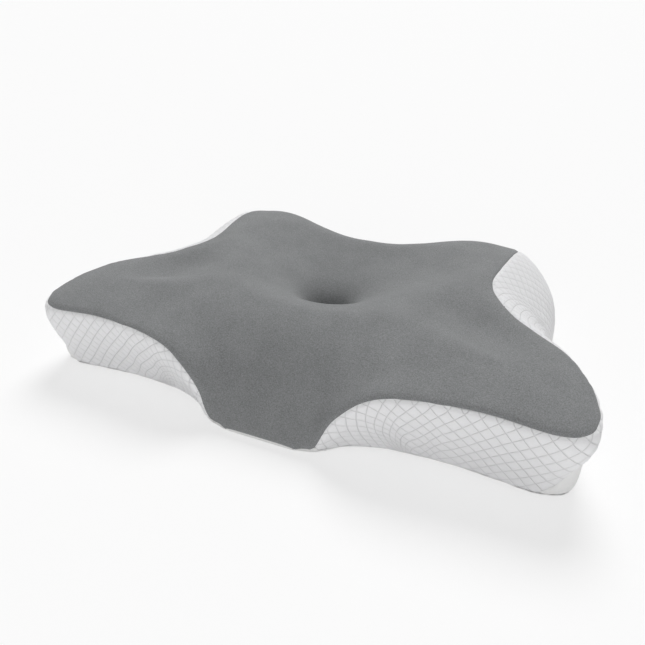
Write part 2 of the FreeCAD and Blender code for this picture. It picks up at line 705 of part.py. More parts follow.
os.makedirs("parts", exist_ok=True)
for node, make in NODES.items():
    shape = make()
    if not shape.isValid():
        raise ValueError(node + " is not a valid solid")
    shape.exportStep("parts/" + node + ".step")
    bounds = shape.BoundBox
    print(node, len(shape.Solids), round(shape.Volume), [round(value, 1) for value in (
        bounds.XMin, bounds.YMin, bounds.ZMin, bounds.XMax, bounds.YMax, bounds.ZMax)])
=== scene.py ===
import math

import bmesh
import bpy
import numpy as np
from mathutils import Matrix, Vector
from mathutils.bvhtree import BVHTree
from mathutils.kdtree import KDTree


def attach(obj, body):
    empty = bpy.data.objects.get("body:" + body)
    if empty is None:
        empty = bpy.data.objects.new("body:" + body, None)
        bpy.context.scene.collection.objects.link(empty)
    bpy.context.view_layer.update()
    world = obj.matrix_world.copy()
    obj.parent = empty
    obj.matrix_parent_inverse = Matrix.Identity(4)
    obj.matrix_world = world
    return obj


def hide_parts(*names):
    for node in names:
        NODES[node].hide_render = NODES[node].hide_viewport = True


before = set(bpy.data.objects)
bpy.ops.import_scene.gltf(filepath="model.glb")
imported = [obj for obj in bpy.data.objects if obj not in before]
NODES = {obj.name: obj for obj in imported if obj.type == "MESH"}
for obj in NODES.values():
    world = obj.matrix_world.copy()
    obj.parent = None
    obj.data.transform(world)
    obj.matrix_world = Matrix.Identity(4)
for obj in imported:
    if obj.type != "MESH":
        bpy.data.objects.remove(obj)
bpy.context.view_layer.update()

bl_info = {
    "name": "Contoured neck pillow",
    "version": (1, 0, 0),
    "blender": (4, 5, 0),
    "location": "View3D > Sidebar > Neck Pillow",
    "description": "Makes the foam, the sewn cover and the studio of a butterfly-shaped neck pillow",
    "category": "Object",
}

PILLOW = "pillow"

# The cover's panels, by the cloth that they are made of, and the two halves of the liner.
QUILTED = ("gusset_right", "gusset_left", "gusset_back")
PLAIN = ("front_hem", "back_strip", "foot_panel_right", "foot_panel_left", "bottom_panel")
PANELS = ("top_panel",) + QUILTED + PLAIN
LINERS = ("liner_top", "liner_base")

# Working distances, in metres.
WELD = 0.00002           # points closer than this are joined
SKIN_REACH = 0.009       # how far from the foam the cover's outer face is looked for
SKIN_STEP = 0.0001       # past one face before the next is looked for
SKIN_GUESS = 0.004       # how far out the nearest face is looked for where none is met
ON_SEAM = 0.0002         # a point this close to a seam is on it
SEAM_HOLD = 0.006        # the cloth is held this close to a seam
UNDERSIDE_HOLD = 0.004   # and this close to the floor
FOAM_INSET = 0.0022      # how far the foam is drawn in, so that it stays under the cover
LINER_INSET = 0.0012     # the same for the liner

# Rounds of smoothing, and the length of the cloth simulation.
FOAM_ROUNDS = 4
COVER_ROUNDS = 2
SEAM_ROUNDS = 6
ALONG_ROUNDS = 60
DOWN_ROUNDS = 10
CLOTH_FRAMES = 20


# --- settings -------------------------------------------------------------------------------------
class PillowForm(bpy.types.PropertyGroup):
    """Sizes of the sewn cover."""
    voxel: bpy.props.FloatProperty(
        name="Mesh size", description="Spacing of the cover's mesh before it is refined",
        default=0.0052, unit="LENGTH")
    puff: bpy.props.FloatProperty(
        name="Puff", description="The most that the fabric may swell between its seams",
        default=0.0022, unit="LENGTH")
    pressure: bpy.props.FloatProperty(
        name="Pressure", description="Push of the foam against the cover", default=4.0)
    tuck_depth: bpy.props.FloatProperty(
        name="Seam depth", description="How far a panel's edge is pulled in at its seam",
        default=0.0012, unit="LENGTH")
    tuck_width: bpy.props.FloatProperty(
        name="Seam roll", description="How wide the rolled edge beside a seam is",
        default=0.0024, unit="LENGTH")
    knit_thickness: bpy.props.FloatProperty(
        name="Knit", description="Thickness of the knit and plain panels", default=0.0009,
        unit="LENGTH")
    quilt_thickness: bpy.props.FloatProperty(
        name="Quilt", description="Thickness of the quilted panels", default=0.0018,
        unit="LENGTH")
    liner_thickness: bpy.props.FloatProperty(
        name="Liner", description="Thickness of the liner", default=0.0006, unit="LENGTH")
    quilt_cell: bpy.props.FloatProperty(
        name="Quilting cell", description="Distance between the quilting lines",
        default=0.0103, unit="LENGTH")
    quilt_height: bpy.props.FloatProperty(
        name="Quilting height", description="How far a cell stands above its lines",
        default=0.0005, unit="LENGTH")


class PillowColours(bpy.types.PropertyGroup):
    """Colours of the fabrics."""
    knit: bpy.props.FloatVectorProperty(
        name="Knit", description="Colour of the top panel", subtype="COLOR", size=3,
        default=(0.228, 0.234, 0.237))
    quilt: bpy.props.FloatVectorProperty(
        name="Quilt", description="Colour of the quilted sides", subtype="COLOR", size=3,
        default=(0.83, 0.83, 0.84))
    plain: bpy.props.FloatVectorProperty(
        name="Plain cloth", description="Colour of the plain panels", subtype="COLOR", size=3,
        default=(0.84, 0.84, 0.835))
    foam: bpy.props.FloatVectorProperty(
        name="Foam", description="Colour of the foam", subtype="COLOR", size=3,
        default=(0.80, 0.76, 0.62))
    zip: bpy.props.FloatVectorProperty(
        name="Zip", description="Colour of the zip", subtype="COLOR", size=3,
        default=(0.80, 0.80, 0.80))


def form():
    return bpy.context.scene.pillow_form


def colours():
    return bpy.context.scene.pillow_colours


# --- mesh helpers ---------------------------------------------------------------------------------
def object_of(name, mesh):
    piece = bpy.data.objects.new(name, mesh)
    bpy.context.scene.collection.objects.link(piece)
    return piece


def merged_copy(node):
    """A CAD node's mesh with its loose triangles joined."""
    shape = bmesh.new()
    shape.from_mesh(NODES[node].data)
    bmesh.ops.remove_doubles(shape, verts=shape.verts, dist=WELD)
    return shape


def tree_of(node):
    """A tree of all the faces of a CAD node."""
    shape = merged_copy(node)
    tree = BVHTree.FromBMesh(shape)
    shape.free()
    return tree


def outer_sheet(node, foam):
    """A tree of the faces of a panel that look away from the foam."""
    shape = merged_copy(node)
    inner = []
    for face in shape.faces:
        centre = face.calc_center_median()
        away = centre - foam.find_nearest(centre)[0]
        if face.normal.dot(away.normalized()) < 0.5:
            inner.append(face)
    bmesh.ops.delete(shape, geom=inner, context="FACES")
    tree = BVHTree.FromBMesh(shape)
    shape.free()
    return tree


def outer_sheets():
    foam = tree_of("foam_core")
    return {node: outer_sheet(node, foam) for node in PANELS}


def applied(piece):
    """Gives the piece the mesh that its live modifiers make, and removes them."""
    depsgraph = bpy.context.evaluated_depsgraph_get()
    mesh = bpy.data.meshes.new_from_object(piece.evaluated_get(depsgraph))
    piece.modifiers.clear()
    piece.data = mesh


def shade_smooth(mesh):
    mesh.polygons.foreach_set("use_smooth", [True] * len(mesh.polygons))


def remeshed(piece, voxel):
    remesh = piece.modifiers.new("Remesh", "REMESH")
    remesh.mode = "VOXEL"
    remesh.voxel_size = voxel
    applied(piece)


def foam_copy(name):
    """A new object with the foam's shape, evenly meshed."""
    shape = merged_copy("foam_core")
    mesh = bpy.data.meshes.new(name)
    shape.to_mesh(mesh)
    shape.free()
    piece = object_of(name, mesh)
    remeshed(piece, form().voxel)
    return piece


def subdivided(piece, levels):
    refine = piece.modifiers.new("Refine", "SUBSURF")
    refine.levels = levels
    refine.render_levels = levels
    applied(piece)


def eased(mesh, rounds, factor=0.5):
    """Smooths the mesh without changing its topology."""
    shape = bmesh.new()
    shape.from_mesh(mesh)
    for _ in range(rounds):
        bmesh.ops.smooth_vert(shape, verts=shape.verts, factor=factor, use_axis_x=True,
                              use_axis_y=True, use_axis_z=True)
    shape.to_mesh(mesh)
    shape.free()


def finished(piece, node, material, body=PILLOW):
    """Everything that a piece needs to stand for its CAD node."""
    shade_smooth(piece.data)
    piece.data.materials.clear()
    piece.data.materials.append(material)
    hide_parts(node)
    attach(piece, body)
    return piece


# --- the cover's form -----------------------------------------------------------------------------
def outer_skin():
    """One tree of all the cover's panels."""
    skin = bmesh.new()
    for node in PANELS:
        skin.from_mesh(NODES[node].data)
    bmesh.ops.remove_doubles(skin, verts=skin.verts, dist=WELD)
    tree = BVHTree.FromBMesh(skin)
    skin.free()
    return tree


def onto_skin(mesh, skin):
    """Moves each point of the foam's mesh out to the outer face of the cover."""
    moved = []
    for vertex in mesh.vertices:
        normal = vertex.normal
        start = vertex.co
        best = None
        travelled = 0.0
        while travelled < SKIN_REACH:
            hit, _, _, distance = skin.ray_cast(start, normal, SKIN_REACH - travelled)
            if hit is None:
                break
            best = hit
            travelled += distance + SKIN_STEP
            start = hit + normal * SKIN_STEP
        if best is None:
            best = skin.find_nearest(vertex.co + normal * SKIN_GUESS)[0]
        moved.append(best.copy())
    for vertex, place in zip(mesh.vertices, moved):
        vertex.co = place


def puffed(piece, held, pressure, most):
    """Cloth under pressure, held at the given vertices, with each point's travel capped."""
    start = np.array([vertex.co[:] for vertex in piece.data.vertices])
    pins = piece.vertex_groups.new(name="held")
    pins.add(held, 1.0, "REPLACE")
    cloth = piece.modifiers.new("Cloth", "CLOTH")
    settings = cloth.settings
    settings.vertex_group_mass = "held"
    settings.quality = 4
    settings.mass = 0.2
    settings.tension_stiffness = 20
    settings.compression_stiffness = 20
    settings.shear_stiffness = 8
    settings.bending_stiffness = 2
    settings.use_pressure = True
    settings.uniform_pressure_force = pressure
    settings.effector_weights.gravity = 0.0
    cloth.collision_settings.use_collision = False
    cloth.point_cache.frame_start = 1
    cloth.point_cache.frame_end = CLOTH_FRAMES
    scene = bpy.context.scene
    for number in range(1, CLOTH_FRAMES + 1):
        scene.frame_set(number)
    applied(piece)
    scene.frame_set(1)
    piece.vertex_groups.clear()
    end = np.array([vertex.co[:] for vertex in piece.data.vertices])
    travel = end - start
    length = np.linalg.norm(travel, axis=1, keepdims=True)
    end = start + travel * np.minimum(1.0, most / np.maximum(length, 1e-9))
    piece.data.vertices.foreach_set("co", end.ravel())
    piece.data.update()


def panel_distances(points, trees):
    """How far each point is from each panel, one row for each panel."""
    return np.array([[trees[node].find_nearest(point)[3] for point in points]
                     for node in PANELS])


def near_seams(distances, within):
    """The points that lie on one panel and are also close to another."""
    nearest_two = np.sort(distances, axis=0)[:2]
    return np.flatnonzero(nearest_two[1] < within)


def cut_along_seams(shape, trees):
    """Splits the mesh exactly where two panels meet, and returns each face's panel."""
    for number in range(len(PANELS)):
        shape.verts.ensure_lookup_table()
        points = [vertex.co for vertex in shape.verts]
        distances = panel_distances(points, trees)
        others = np.delete(distances, number, axis=0).min(axis=0)
        side = distances[number] - others
        side[np.abs(side) < ON_SEAM] = 0.0
        on_seam = {shape.verts[i] for i in np.flatnonzero(side == 0.0)}
        for edge in list(shape.edges):
            a, b = edge.verts
            if a.index < 0 or b.index < 0:
                continue
            if side[a.index] * side[b.index] < 0.0:
                share = side[a.index] / (side[a.index] - side[b.index])
                crossing = bmesh.utils.edge_split(edge, a, share)[1]
                crossing.index = -1
                on_seam.add(crossing)
        for face in list(shape.faces):
            corners = [vertex for vertex in face.verts if vertex in on_seam]
            if len(corners) == 2 and shape.edges.get(corners) is None:
                bmesh.utils.face_split(face, corners[0], corners[1])
        shape.verts.index_update()
    shape.faces.ensure_lookup_table()
    centres = [face.calc_center_median() for face in shape.faces]
    return panel_distances(centres, trees).argmin(axis=0)


def seam_smoothed(shape, owners, rounds):
    """Evens out the lines along which the panels meet."""
    neighbours = {}
    for edge in shape.edges:
        if len({owners[face.index] for face in edge.link_faces}) > 1:
            for vertex in edge.verts:
                neighbours.setdefault(vertex, []).append(edge.other_vert(vertex))
    line = {vertex: ends for vertex, ends in neighbours.items() if len(ends) == 2}
    for _ in range(rounds):
        moved = {vertex: 0.5 * vertex.co + 0.25 * (ends[0].co + ends[1].co)
                 for vertex, ends in line.items()}
        for vertex, place in moved.items():
            vertex.co = place


def seam_directions(shape, owners):
    """Which way is outward along the seams, as a finder of places and a list of directions."""
    shape.normal_update()
    seam = {vertex for edge in shape.edges for vertex in edge.verts
            if len({owners[face.index] for face in edge.link_faces}) > 1}
    seam = sorted(seam, key=lambda vertex: vertex.index)
    tree = KDTree(len(seam))
    for i, vertex in enumerate(seam):
        tree.insert(vertex.co, i)
    tree.balance()
    return tree, [vertex.normal.copy() for vertex in seam]


def panel_mesh(shape, owners, number):
    """The faces of one panel as a mesh of their own."""
    part = shape.copy()
    part.faces.ensure_lookup_table()
    others = [part.faces[i] for i in np.flatnonzero(owners != number)]
    bmesh.ops.delete(part, geom=others, context="FACES")
    bmesh.ops.triangulate(part, faces=[face for face in part.faces if len(face.verts) > 4])
    mesh = bpy.data.meshes.new(PANELS[number])
    part.to_mesh(mesh)
    part.free()
    return mesh


def edge_points(mesh):
    """The points along the open edge of a panel."""
    shape = bmesh.new()
    shape.from_mesh(mesh)
    points = [vertex.co.copy() for vertex in shape.verts if vertex.is_boundary]
    shape.free()
    return points


def edge_distance(mesh):
    """Each point's distance from the panel's open edge."""
    points = edge_points(mesh)
    tree = KDTree(len(points))
    for i, point in enumerate(points):
        tree.insert(point, i)
    tree.balance()
    return np.array([tree.find(vertex.co)[2] for vertex in mesh.vertices])


def moved_along_normals(mesh, amounts):
    places = np.array([vertex.co[:] for vertex in mesh.vertices])
    normals = np.array([vertex.normal[:] for vertex in mesh.vertices])
    places += normals * amounts[:, None]
    mesh.vertices.foreach_set("co", places.ravel())
    mesh.update()


def tucked(mesh, seam, near, depth):
    """Pulls the panel's edge in where near is 1, the same way for the panels on both sides."""
    tree, outward = seam
    for vertex in mesh.vertices:
        share = near[vertex.index]
        if share < 0.01:
            continue
        found = tree.find_n(vertex.co, 4)
        mean = Vector()
        for _, i, distance in found:
            mean += outward[i] / (distance + 0.001)
        vertex.co -= mean.normalized() * (depth * share)
    mesh.update()


# --- the quilting's own coordinates ---------------------------------------------------------------
def seam_line(top_mesh):
    """The top panel's edge as points in order round the pillow, with the length so far."""
    shape = bmesh.new()
    shape.from_mesh(top_mesh)
    start = min((vertex for vertex in shape.verts if vertex.is_boundary),
                key=lambda vertex: (vertex.co.y, abs(vertex.co.x)))
    line = [start.co.copy()]
    before, here = None, start
    while True:
        after = [edge.other_vert(here) for edge in here.link_edges
                 if edge.is_boundary and edge.other_vert(here) is not before]
        if before is None:
            after.sort(key=lambda vertex: -vertex.co.x)
        before, here = here, after[0]
        if here is start:
            break
        line.append(here.co.copy())
    shape.free()
    lengths = [0.0]
    for a, b in zip(line, line[1:]):
        lengths.append(lengths[-1] + (b - a).length)
    return line, lengths


def smoothed_values(mesh, values, rounds):
    """Evens out one number for each point of the mesh."""
    edges = np.zeros(len(mesh.edges) * 2, np.int64)
    mesh.edges.foreach_get("vertices", edges)
    first, second = edges[0::2], edges[1::2]
    count = np.bincount(edges, minlength=len(values))
    for _ in range(rounds):
        total = (np.bincount(first, values[second], len(values))
                 + np.bincount(second, values[first], len(values)))
        values = 0.5 * values + 0.5 * total / np.maximum(count, 1)
    return values


def along_line(point, tree, line, lengths):
    """How far along the line its nearest place to the point is."""
    nearest = tree.find(point)[1]
    best, place = None, 0.0
    for i in (nearest - 1, nearest):
        if i < 0 or i + 1 >= len(line):
            continue
        step = line[i + 1] - line[i]
        share = max(0.0, min(1.0, (point - line[i]).dot(step) / max(step.length_squared, 1e-12)))
        distance = (line[i] + step * share - point).length
        if best is None or distance < best:
            best, place = distance, lengths[i] + share * step.length
    return place


def cloth_coordinates(mesh, line, lengths, top_sheet):
    """A UV map in metres: along the seam, and down from it."""
    tree = KDTree(len(line))
    for i, point in enumerate(line):
        tree.insert(point, i)
    tree.balance()
    along = np.array([along_line(vertex.co, tree, line, lengths) for vertex in mesh.vertices])
    down = np.array([top_sheet.find_nearest(vertex.co)[3] for vertex in mesh.vertices])
    along = smoothed_values(mesh, along, ALONG_ROUNDS)
    down = smoothed_values(mesh, down, DOWN_ROUNDS)
    layer = mesh.uv_layers.new(name="cloth")
    loops = np.zeros(len(mesh.loops), np.int32)
    mesh.loops.foreach_get("vertex_index", loops)
    layer.data.foreach_set("uv", np.stack([along[loops], down[loops]], 1).ravel())
    return along, down


def quilting(along, down, cell, height):
    """Rounded diamonds between two sets of slanting lines."""
    lift = np.ones(len(along))
    for slant in (along + down, along - down):
        lift *= np.abs(np.sin(math.pi * slant / (cell * math.sqrt(2.0)))) ** 0.6
    return height * (lift - 0.5)


# --- node groups ----------------------------------------------------------------------------------
def new_group(name, inputs, outputs):
    """An empty group with its sockets: name, kind and default for each input, name and kind for
    each output."""
    group = bpy.data.node_groups.new(name, "ShaderNodeTree")
    for label, kind, default in inputs:
        socket = group.interface.new_socket(label, in_out="INPUT", socket_type=kind)
        if default is not None:
            socket.default_value = default
    for label, kind in outputs:
        group.interface.new_socket(label, in_out="OUTPUT", socket_type=kind)
    return group, group.nodes.new("NodeGroupInput"), group.nodes.new("NodeGroupOutput")


def maths(group, operation, a, b=None, clamp=False):
    """A Math node; a and b are sockets or numbers."""
    node = group.nodes.new("ShaderNodeMath")
    node.operation = operation
    node.use_clamp = clamp
    for socket, value in zip(node.inputs, (a, b)):
        if value is None:
            continue
        if isinstance(value, (int, float)):
            socket.default_value = value
        else:
            group.links.new(value, socket)
    return node.outputs[0]


def noise(group, vector, scale, detail=2.0):
    node = group.nodes.new("ShaderNodeTexNoise")
    node.inputs["Scale"].default_value = scale
    node.inputs["Detail"].default_value = detail
    group.links.new(vector, node.inputs["Vector"])
    return node.outputs["Fac"]


def wave(group, coordinate, pitch):
    """0 to 1 and back over each pitch."""
    turned = maths(group, "MULTIPLY", coordinate, 2.0 * math.pi / pitch)
    return maths(group, "MULTIPLY_ADD", maths(group, "SINE", turned), 0.5)


def knit_group():
    """Stretch knit: rows of stitches with a mottled, heathered shade."""
    group, given, result = new_group(
        "stretch knit",
        [("Vector", "NodeSocketVector", None), ("Pitch", "NodeSocketFloat", 0.0011)],
        [("Height", "NodeSocketFloat"), ("Shade", "NodeSocketFloat")])
    parts = group.nodes.new("ShaderNodeSeparateXYZ")
    group.links.new(given.outputs["Vector"], parts.inputs[0])
    turn = maths(group, "DIVIDE", 2.0 * math.pi, given.outputs["Pitch"])
    across = maths(group, "SINE", maths(group, "MULTIPLY", parts.outputs["X"], turn))
    rows = maths(group, "MULTIPLY", parts.outputs["Y"], turn)
    shifted = maths(group, "ADD", rows, maths(group, "MULTIPLY", across, 0.9))
    stitches = maths(group, "MULTIPLY", maths(group, "SINE", shifted), across)
    speckle = noise(group, given.outputs["Vector"], 900.0)
    patch = noise(group, given.outputs["Vector"], 35.0, 3.0)
    height = maths(group, "ADD", maths(group, "MULTIPLY", stitches, 0.35), speckle)
    group.links.new(height, result.inputs["Height"])
    shade = maths(group, "ADD", maths(group, "MULTIPLY", speckle, 2.2),
                  maths(group, "MULTIPLY", patch, 0.5))
    shade = maths(group, "SUBTRACT", shade, 0.85, clamp=True)
    group.links.new(shade, result.inputs["Shade"])
    return group


def quilt_group():
    """Quilting lines in diamonds, and fine ribs across the cells."""
    group, given, result = new_group(
        "diamond quilting",
        [("Vector", "NodeSocketVector", None), ("Cell", "NodeSocketFloat", 0.0103),
         ("Line", "NodeSocketFloat", 0.055)],
        [("Height", "NodeSocketFloat"), ("Lines", "NodeSocketFloat")])
    parts = group.nodes.new("ShaderNodeSeparateXYZ")
    group.links.new(given.outputs["Vector"], parts.inputs[0])
    along, down = parts.outputs["X"], parts.outputs["Y"]
    spread = maths(group, "MULTIPLY", given.outputs["Cell"], math.sqrt(2.0))
    lines = None
    for operation in ("ADD", "SUBTRACT"):
        slant = maths(group, "DIVIDE", maths(group, operation, along, down), spread)
        nearest = maths(group, "ABSOLUTE", maths(group, "SUBTRACT", slant,
                                                 maths(group, "ROUND", slant)))
        line = maths(group, "SUBTRACT", 1.0,
                     maths(group, "DIVIDE", nearest, given.outputs["Line"]), clamp=True)
        lines = line if lines is None else maths(group, "MAXIMUM", lines, line)
    ribs = wave(group, along, 0.0016)
    ticks = wave(group, down, 0.0022)
    weave = maths(group, "MULTIPLY", ribs, ticks)
    sunk = maths(group, "MULTIPLY", lines, -1.0)
    height = maths(group, "ADD", sunk, maths(group, "MULTIPLY", weave, 0.22))
    group.links.new(height, result.inputs["Height"])
    # Lines also darkens the cloth's colour in the quilted material: painted shade along the quilting
    # lines.
    group.links.new(lines, result.inputs["Lines"])
    return group


def weave_group():
    """Plain fine cloth."""
    group, given, result = new_group(
        "fine cloth",
        [("Vector", "NodeSocketVector", None), ("Pitch", "NodeSocketFloat", 0.0009)],
        [("Height", "NodeSocketFloat"), ("Shade", "NodeSocketFloat")])
    parts = group.nodes.new("ShaderNodeSeparateXYZ")
    group.links.new(given.outputs["Vector"], parts.inputs[0])
    turn = maths(group, "DIVIDE", 2.0 * math.pi, given.outputs["Pitch"])
    total = None
    for axis in ("X", "Y", "Z"):
        wave_axis = maths(group, "SINE", maths(group, "MULTIPLY", parts.outputs[axis], turn))
        total = wave_axis if total is None else maths(group, "ADD", total, wave_axis)
    patch = noise(group, given.outputs["Vector"], 60.0, 3.0)
    speckle = noise(group, given.outputs["Vector"], 1400.0)
    height = maths(group, "ADD", maths(group, "MULTIPLY", total, 0.2), speckle)
    group.links.new(height, result.inputs["Height"])
    group.links.new(patch, result.inputs["Shade"])
    return group


# --- materials ------------------------------------------------------------------------------------
def new_material(name, roughness, sheen=0.0):
    material = bpy.data.materials.new(name)
    material.use_nodes = True
    shader = material.node_tree.nodes["Principled BSDF"]
    shader.inputs["Roughness"].default_value = roughness
    shader.inputs["Specular IOR Level"].default_value = 0.25
    shader.inputs["Sheen Weight"].default_value = sheen
    shader.inputs["Sheen Roughness"].default_value = 0.5
    return material, material.node_tree, shader


def placed(tree, group, vector, **values):
    node = tree.nodes.new("ShaderNodeGroup")
    node.node_tree = group
    tree.links.new(vector, node.inputs["Vector"])
    for label, value in values.items():
        node.inputs[label].default_value = value
    return node


def object_vector(tree):
    return tree.nodes.new("ShaderNodeTexCoord").outputs["Object"]


def cloth_vector(tree):
    node = tree.nodes.new("ShaderNodeUVMap")
    node.uv_map = "cloth"
    return node.outputs["UV"]


def tinted(tree, factor, dark, light, shader):
    """Base Color between two colours."""
    mix = tree.nodes.new("ShaderNodeMix")
    mix.data_type = "RGBA"
    mix.inputs["A"].default_value = (*dark, 1.0)
    mix.inputs["B"].default_value = (*light, 1.0)
    tree.links.new(factor, mix.inputs["Factor"])
    tree.links.new(mix.outputs["Result"], shader.inputs["Base Color"])


def bumped(tree, height, distance, strength, shader):
    bump = tree.nodes.new("ShaderNodeBump")
    bump.inputs["Distance"].default_value = distance
    bump.inputs["Strength"].default_value = strength
    tree.links.new(height, bump.inputs["Height"])
    tree.links.new(bump.outputs["Normal"], shader.inputs["Normal"])


def scaled(colour, by):
    return tuple(min(1.0, channel * by) for channel in colour)


def knit_material():
    material, tree, shader = new_material("grey stretch knit", 0.85, sheen=0.10)
    knit = placed(tree, bpy.data.node_groups["stretch knit"], object_vector(tree))
    colour = colours().knit
    tinted(tree, knit.outputs["Shade"], scaled(colour, 0.72), scaled(colour, 1.28), shader)
    bumped(tree, knit.outputs["Height"], 0.0004, 0.6, shader)
    return material


def quilt_material():
    material, tree, shader = new_material("white quilted jacquard", 0.75, sheen=0.15)
    quilt = placed(tree, bpy.data.node_groups["diamond quilting"], cloth_vector(tree),
                   Cell=form().quilt_cell)
    colour = colours().quilt
    # The quilting lines are painted 11% darker, which is painted shade in their sunk grooves, on top
    # of the bump that sinks them.
    tinted(tree, quilt.outputs["Lines"], colour, scaled(colour, 0.89), shader)
    bumped(tree, quilt.outputs["Height"], 0.0007, 0.8, shader)
    return material


def cloth_material(name, colour):
    material, tree, shader = new_material(name, 0.8, sheen=0.1)
    cloth = placed(tree, bpy.data.node_groups["fine cloth"], object_vector(tree))
    tinted(tree, cloth.outputs["Shade"], scaled(colour, 0.95), scaled(colour, 1.03), shader)
    bumped(tree, cloth.outputs["Height"], 0.0003, 0.5, shader)
    return material


def foam_material():
    material, tree, shader = new_material("memory foam", 0.95)
    vector = object_vector(tree)
    cells = noise(tree, vector, 700.0, 4.0)
    tinted(tree, cells, scaled(colours().foam, 0.8), scaled(colours().foam, 1.1), shader)
    bumped(tree, cells, 0.0008, 0.7, shader)
    return material


def enamel_material():
    material, tree, shader = new_material("white enamel", 0.35)
    shader.inputs["Coat Weight"].default_value = 0.3
    vector = object_vector(tree)
    wear = noise(tree, vector, 300.0, 3.0)
    tinted(tree, wear, scaled(colours().zip, 0.93), scaled(colours().zip, 1.05), shader)
    bumped(tree, wear, 0.00005, 0.3, shader)
    return material


def nylon_material():
    material, tree, shader = new_material("white nylon", 0.45)
    vector = object_vector(tree)
    grain = noise(tree, vector, 900.0, 2.0)
    tinted(tree, grain, scaled(colours().zip, 0.92), scaled(colours().zip, 1.04), shader)
    bumped(tree, grain, 0.00006, 0.4, shader)
    return material


# --- operators ------------------------------------------------------------------------------------
class PILLOW_OT_fabrics(bpy.types.Operator):
    """Make the node groups that the fabrics share"""
    bl_idname = "pillow.fabrics"
    bl_label = "Make the fabrics"

    def execute(self, context):
        knit_group()
        quilt_group()
        weave_group()
        return {"FINISHED"}


class PILLOW_OT_foam(bpy.types.Operator):
    """Make the foam block and the thin liner round it"""
    bl_idname = "pillow.foam"
    bl_label = "Make the foam and its liner"

    def execute(self, context):
        foam = foam_copy("foam_block")
        eased(foam.data, FOAM_ROUNDS)
        self.line(foam.data)
        moved_along_normals(foam.data, np.full(len(foam.data.vertices), -FOAM_INSET))
        finished(foam, "foam_core", foam_material())
        return {"FINISHED"}

    def line(self, foam_mesh):
        """The liner's two halves, a little way out from the foam."""
        trees = [tree_of(node) for node in LINERS]
        cloth = cloth_material("thin liner jersey", colours().plain)
        for node in LINERS:
            shape = bmesh.new()
            shape.from_mesh(foam_mesh)
            other_half = []
            for face in shape.faces:
                reach = [tree.find_nearest(face.calc_center_median())[3] for tree in trees]
                if LINERS[reach.index(min(reach))] != node:
                    other_half.append(face)
            bmesh.ops.delete(shape, geom=other_half, context="FACES")
            mesh = bpy.data.meshes.new(node)
            shape.to_mesh(mesh)
            shape.free()
            moved_along_normals(mesh, np.full(len(mesh.vertices), -LINER_INSET))
            half = object_of("inner_" + node, mesh)
            thickness = half.modifiers.new("Cloth thickness", "SOLIDIFY")
            thickness.thickness = form().liner_thickness
            thickness.offset = -1.0
            finished(half, node, cloth)


class PILLOW_OT_cover(bpy.types.Operator):
    """Sew the cover: one stretched form, cut along its seams into panels"""
    bl_idname = "pillow.cover"
    bl_label = "Sew the cover"

    def execute(self, context):
        trees = outer_sheets()
        whole = foam_copy("cover_form")
        onto_skin(whole.data, outer_skin())
        eased(whole.data, COVER_ROUNDS)
        places = [vertex.co for vertex in whole.data.vertices]
        held = near_seams(panel_distances(places, trees), SEAM_HOLD)
        low = [vertex.index for vertex in whole.data.vertices
               if vertex.co.z < UNDERSIDE_HOLD]
        held = sorted(set(held.tolist()) | set(low))
        puffed(whole, held, form().pressure, form().puff)
        eased(whole.data, COVER_ROUNDS)
        for vertex in whole.data.vertices:
            vertex.co.z = max(vertex.co.z, 0.0)
        shape = bmesh.new()
        shape.from_mesh(whole.data)
        owners = cut_along_seams(shape, trees)
        seam_smoothed(shape, owners, SEAM_ROUNDS)
        materials = {"knit": knit_material(), "quilt": quilt_material(),
                     "plain": cloth_material("plain white cloth", colours().plain)}
        meshes = [panel_mesh(shape, owners, number) for number in range(len(PANELS))]
        seam = seam_directions(shape, owners)
        shape.free()
        line, lengths = seam_line(meshes[0])
        for node, panel in zip(PANELS, meshes):
            if not panel.polygons:
                raise RuntimeError(node + " has no faces")
            self.sew(node, panel, materials, seam, line, lengths, trees["top_panel"])
        bpy.data.objects.remove(whole)
        return {"FINISHED"}

    def sew(self, node, mesh, materials, seam, line, lengths, top_sheet):
        piece = object_of("cover_" + node, mesh)
        quilted = node in QUILTED
        subdivided(piece, 2 if quilted else 1)
        mesh = piece.data
        edge = edge_distance(mesh)
        near = np.exp(-(edge / form().tuck_width) ** 2)
        if quilted:
            along, down = cloth_coordinates(mesh, line, lengths, top_sheet)
            lift = quilting(along, down, form().quilt_cell, form().quilt_height)
            moved_along_normals(mesh, lift * (1.0 - near))
        if node != "bottom_panel":
            tucked(mesh, seam, near, form().tuck_depth)
        cloth = piece.modifiers.new("Cloth thickness", "SOLIDIFY")
        cloth.thickness = form().quilt_thickness if quilted else form().knit_thickness
        cloth.offset = -1.0
        key = "quilt" if quilted else ("knit" if node == "top_panel" else "plain")
        finished(piece, node, materials[key])


class PILLOW_OT_fittings(bpy.types.Operator):
    """Give the zip and the tie their finishes"""
    bl_idname = "pillow.fittings"
    bl_label = "Finish the zip and the tie"

    def execute(self, context):
        tape = cloth_material("woven zip tape", colours().zip)
        enamel = enamel_material()
        nylon = nylon_material()
        finishes = {
            tape: ("zip_tape_upper", "zip_tape_lower", "tie_cord"),
            enamel: ("zip_slider", "zip_pull", "zip_stop_open", "zip_stop_closed"),
            nylon: ("zip_coil_upper", "zip_coil_lower", "tie_button", "tie_anchor"),
        }
        for material, nodes in finishes.items():
            for node in nodes:
                NODES[node].data.materials.clear()
                NODES[node].data.materials.append(material)
        return {"FINISHED"}


